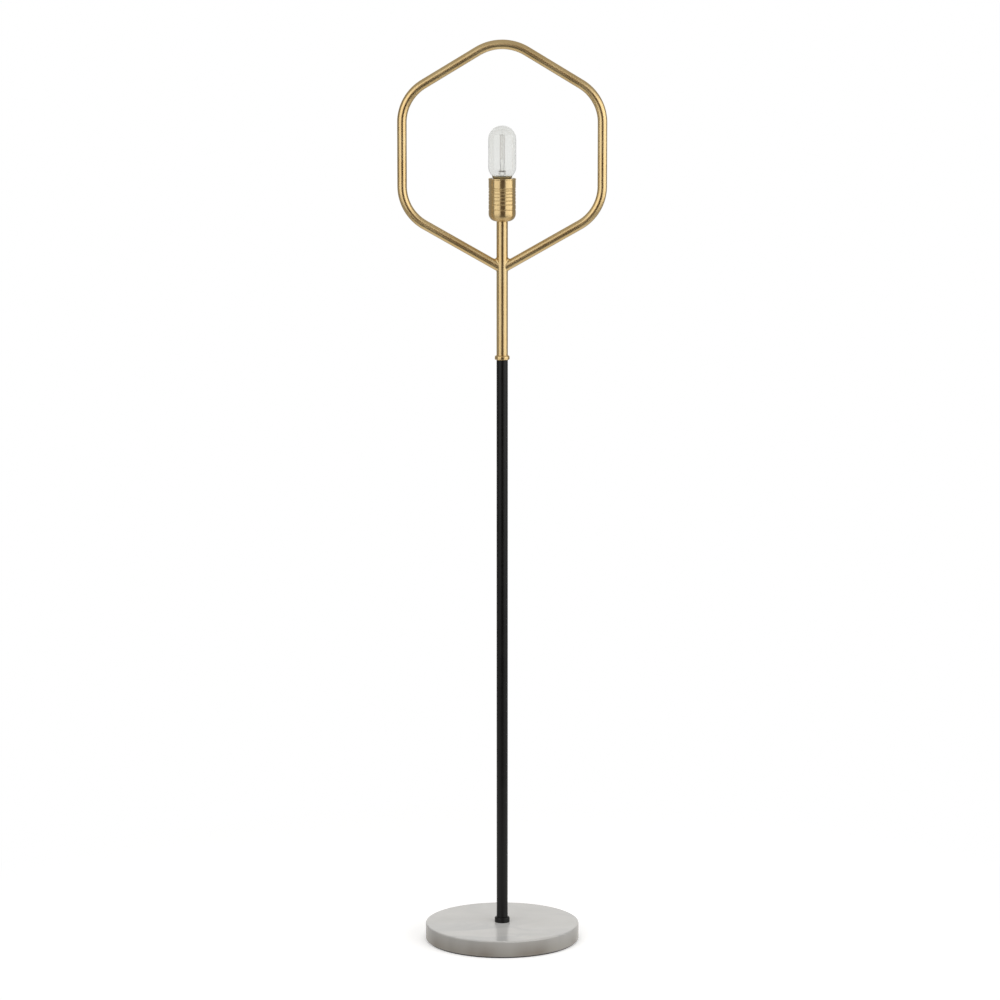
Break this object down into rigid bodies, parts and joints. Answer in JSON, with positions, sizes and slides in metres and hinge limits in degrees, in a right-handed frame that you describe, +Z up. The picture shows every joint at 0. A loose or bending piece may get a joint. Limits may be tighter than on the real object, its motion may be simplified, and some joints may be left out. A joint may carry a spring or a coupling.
{
  "type": "floor lamp",
  "caption": "Floor lamp with a round marble base, a slim black pole and a brass stem, and one hexagon hoop of bent brass tube round a bare tubular bulb.",
  "frame": {"origin": "on the floor, under the middle of the base", "axes": "+Z up, the hoop lies in the XZ plane and is seen from -Y, the cord inlet is at the back on +Y"},
  "size_m": [0.3302, 0.2476, 1.4478],
  "materials": {
    "rubber_pad": "matt black foam rubber",
    "marble": "polished, white with faint grey veins",
    "inlet_rubber": "black moulded rubber",
    "plated_steel": "zinc plated",
    "black_paint": "satin black powder coat",
    "satin_brass": "brushed lengthways and lacquered",
    "porcelain": "white glaze",
    "contact_brass": "bright stamped brass",
    "lead_jacket": "black vinyl jacket",
    "core_insulation": "white vinyl",
    "solder": "dull solder",
    "seal_glass": "black glass",
    "bulb_cap_metal": "nickel plated brass",
    "cement": "basing cement",
    "clear_glass": "clear",
    "mount_glass": "clear",
    "nickel_wire": "nickel wire",
    "filament_wire": "brown tungsten"
  },
  "bodies": {
    "lamp_frame": {"foot_pad": "rubber_pad", "marble_base": "marble", "cord_grommet": "inlet_rubber", "base_washer": "plated_steel", "base_lock_washer": "plated_steel", "base_locknut": "plated_steel", "base_rod": "plated_steel", "pole_bottom_plug": "plated_steel", "pole_top_plug": "plated_steel", "coupling_nipple": "plated_steel", "stem_bottom_plug": "plated_steel", "stem_top_plug": "plated_steel", "socket_nipple": "plated_steel", "socket_locknut": "plated_steel", "socket_bracket": "plated_steel", "bracket_screws": "plated_steel", "base_collar": "black_paint", "pole_tube": "black_paint", "joint_ring": "satin_brass", "stem_tube": "satin_brass", "hexagon_hoop": "satin_brass", "weld_fillets": "satin_brass", "socket_cup": "satin_brass", "socket_insulator": "porcelain", "screw_shell": "contact_brass", "centre_contact": "contact_brass", "contact_rivets": "contact_brass", "terminal_plates": "contact_brass", "terminal_screws": "contact_brass", "internal_lead": "lead_jacket", "lead_conductors": "core_insulation"},
    "bulb_carriage": {"bulb_contact": "solder"},
    "bulb": {"bulb_insulator": "seal_glass", "bulb_cap": "bulb_cap_metal", "bulb_cement": "cement", "bulb_glass": "clear_glass", "bulb_stem_mount": "mount_glass", "bulb_lead_wires": "nickel_wire", "bulb_filament": "filament_wire", "bulb_filament_supports": "nickel_wire"}
  },
  "joints": [
    {"name": "bulb_rise", "type": "slide", "parent": "lamp_frame", "child": "bulb_carriage", "axis": [0, 0, 1], "range_m": [0, 0.01452]},
    {"name": "bulb_unscrew", "type": "hinge", "parent": "bulb_carriage", "child": "bulb", "pos_m": [0, 0, 1.2036], "axis": [0, 0, 1], "range_deg": [0, 1440]}
  ],
  "couplings": [
    {"joint": "bulb_rise", "follows": "bulb_unscrew", "m_per_rad": 0.00057757}
  ]
}
